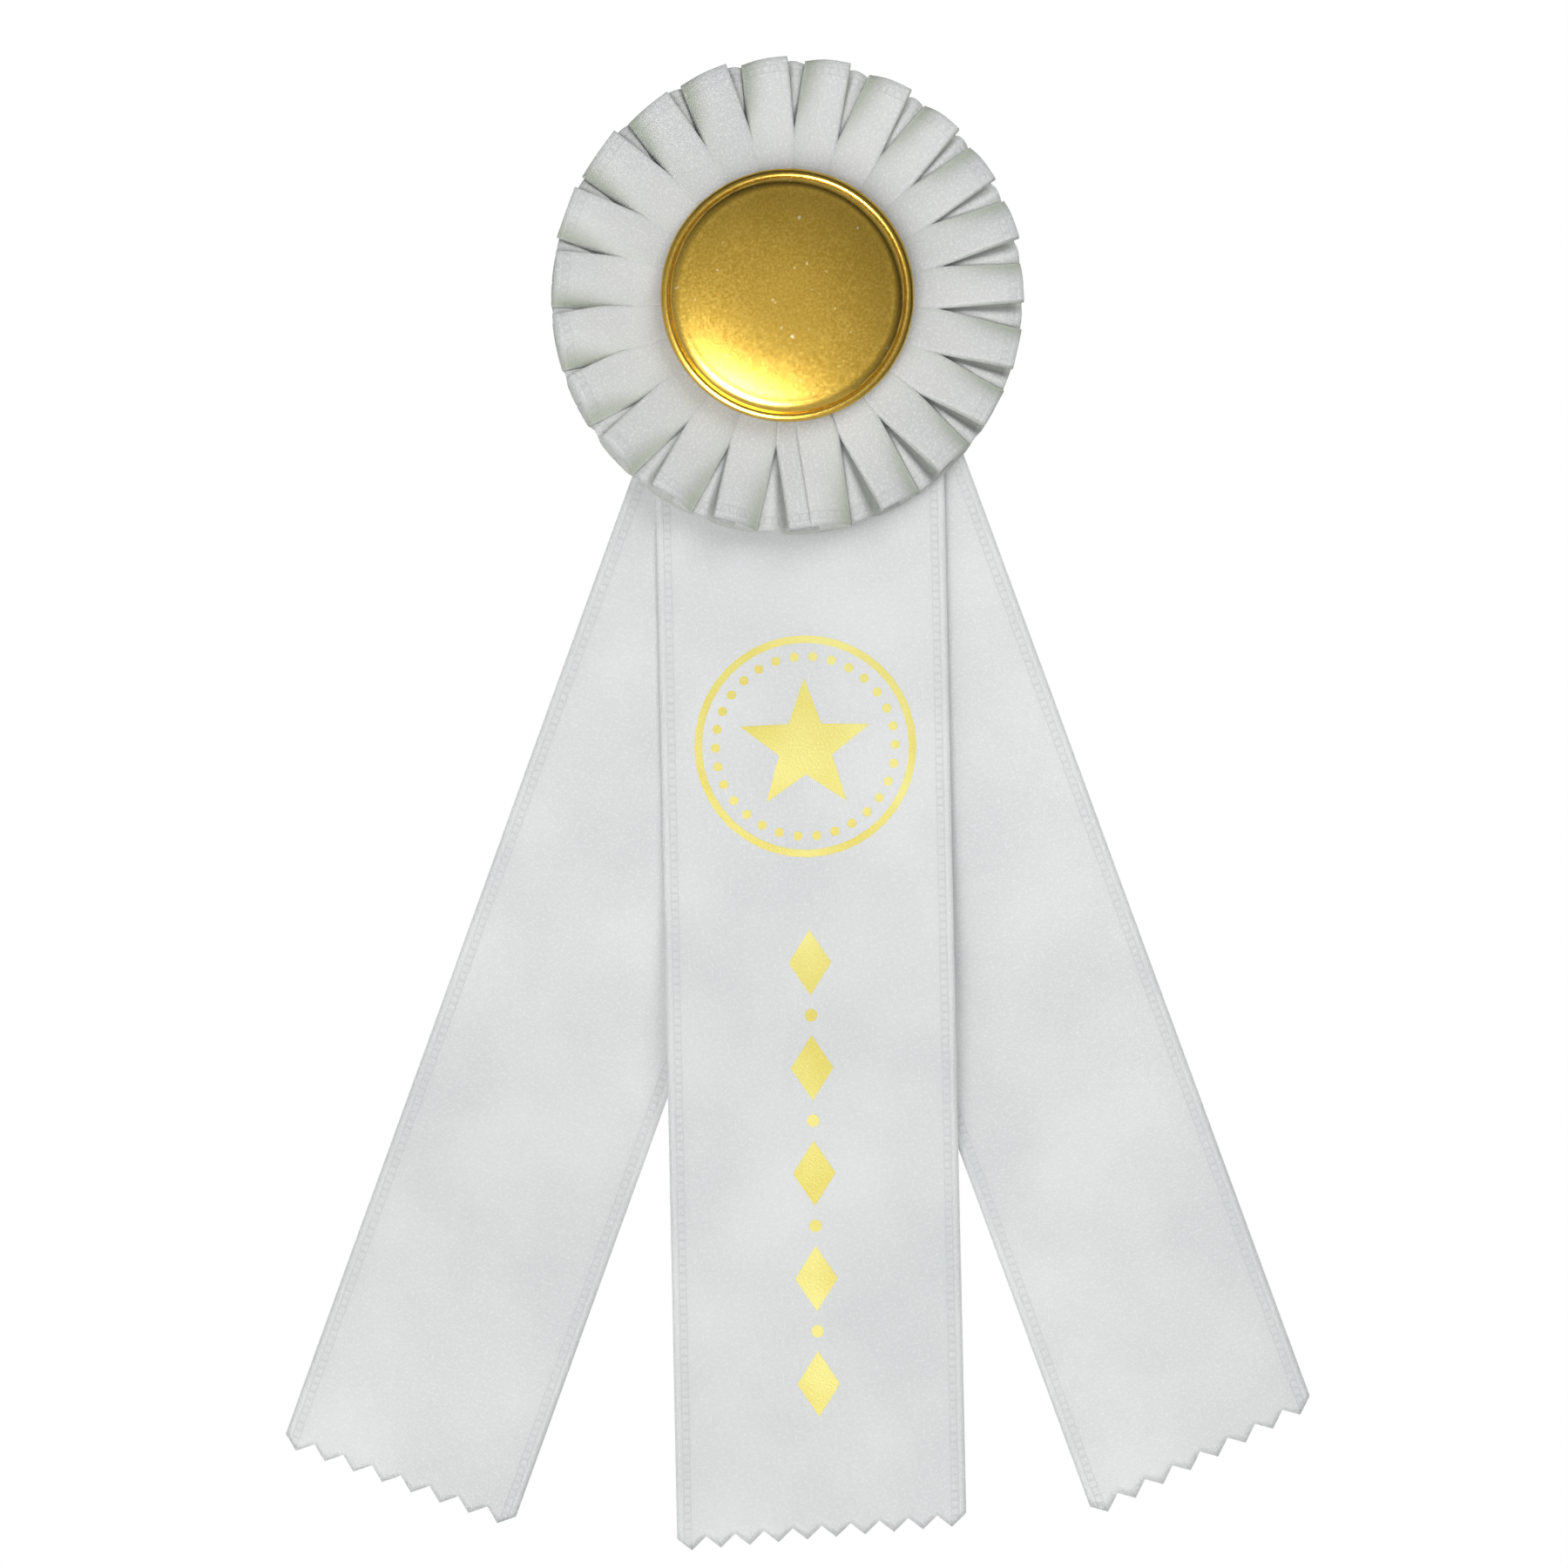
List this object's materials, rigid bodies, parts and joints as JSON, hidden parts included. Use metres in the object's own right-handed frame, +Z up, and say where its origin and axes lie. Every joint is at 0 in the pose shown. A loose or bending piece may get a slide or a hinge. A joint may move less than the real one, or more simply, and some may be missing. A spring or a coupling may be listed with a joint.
{
  "type": "award ribbon",
  "caption": "Rosette award ribbon: a pressed gold button on a box-pleated white satin ruff, with satin streamers pinked at their ends and a bar pin on the back.",
  "frame": {"origin": "middle of the pin's stem, where the fabric that carries the ribbon sits", "axes": "+Z up along the hanging ribbon, +X to the right seen from the front, the front faces -Y"},
  "size_m": [0.1801, 0.0201, 0.2614],
  "materials": {
    "satin": "white satin ribbon, soft sheen",
    "gold_metal": "gold lacquered, fine grained",
    "card": "smooth white board",
    "tinned_steel": "tinned",
    "nickel": "nickel plated"
  },
  "bodies": {
    "rosette": {"button_shell": "gold_metal", "button_back": "tinned_steel", "prong_fastener": "tinned_steel", "pleated_ruff": "satin", "ruff_card": "card", "back_card": "card", "centre_streamer_head": "satin", "left_streamer_head": "satin", "right_streamer_head": "satin", "staple_1": "tinned_steel", "staple_2": "tinned_steel", "pin_bar": "nickel", "pin_rivet": "nickel"},
    "centre_streamer": {"centre_streamer_tail": "satin"},
    "left_streamer": {"left_streamer_tail": "satin"},
    "right_streamer": {"right_streamer_tail": "satin"},
    "stem": {"pin_stem": "nickel"},
    "catch": {"pin_catch": "nickel"}
  },
  "joints": [
    {"name": "centre_streamer_flap", "type": "hinge", "parent": "rosette", "child": "centre_streamer", "pos_m": [0, -0.0067, -0.057], "axis": [-1, 0, 0], "range_deg": [0, 70]},
    {"name": "left_streamer_flap", "type": "hinge", "parent": "rosette", "child": "left_streamer", "pos_m": [0, -0.00565, -0.057], "axis": [1, 0, 0], "range_deg": [0, 70]},
    {"name": "right_streamer_flap", "type": "hinge", "parent": "rosette", "child": "right_streamer", "pos_m": [0, -0.00565, -0.057], "axis": [1, 0, 0], "range_deg": [0, 70]},
    {"name": "pin_stem_swing", "type": "hinge", "parent": "rosette", "child": "stem", "pos_m": [-0.013, 0, 0], "axis": [0, 0, 1], "range_deg": [0, 90]},
    {"name": "pin_catch_roll", "type": "hinge", "parent": "rosette", "child": "catch", "pos_m": [0.0122, 0, 0], "axis": [1, 0, 0], "range_deg": [0, 120]}
  ],
  "couplings": [
    {"joint": "right_streamer_flap", "follows": "left_streamer_flap", "ratio": 1}
  ]
}
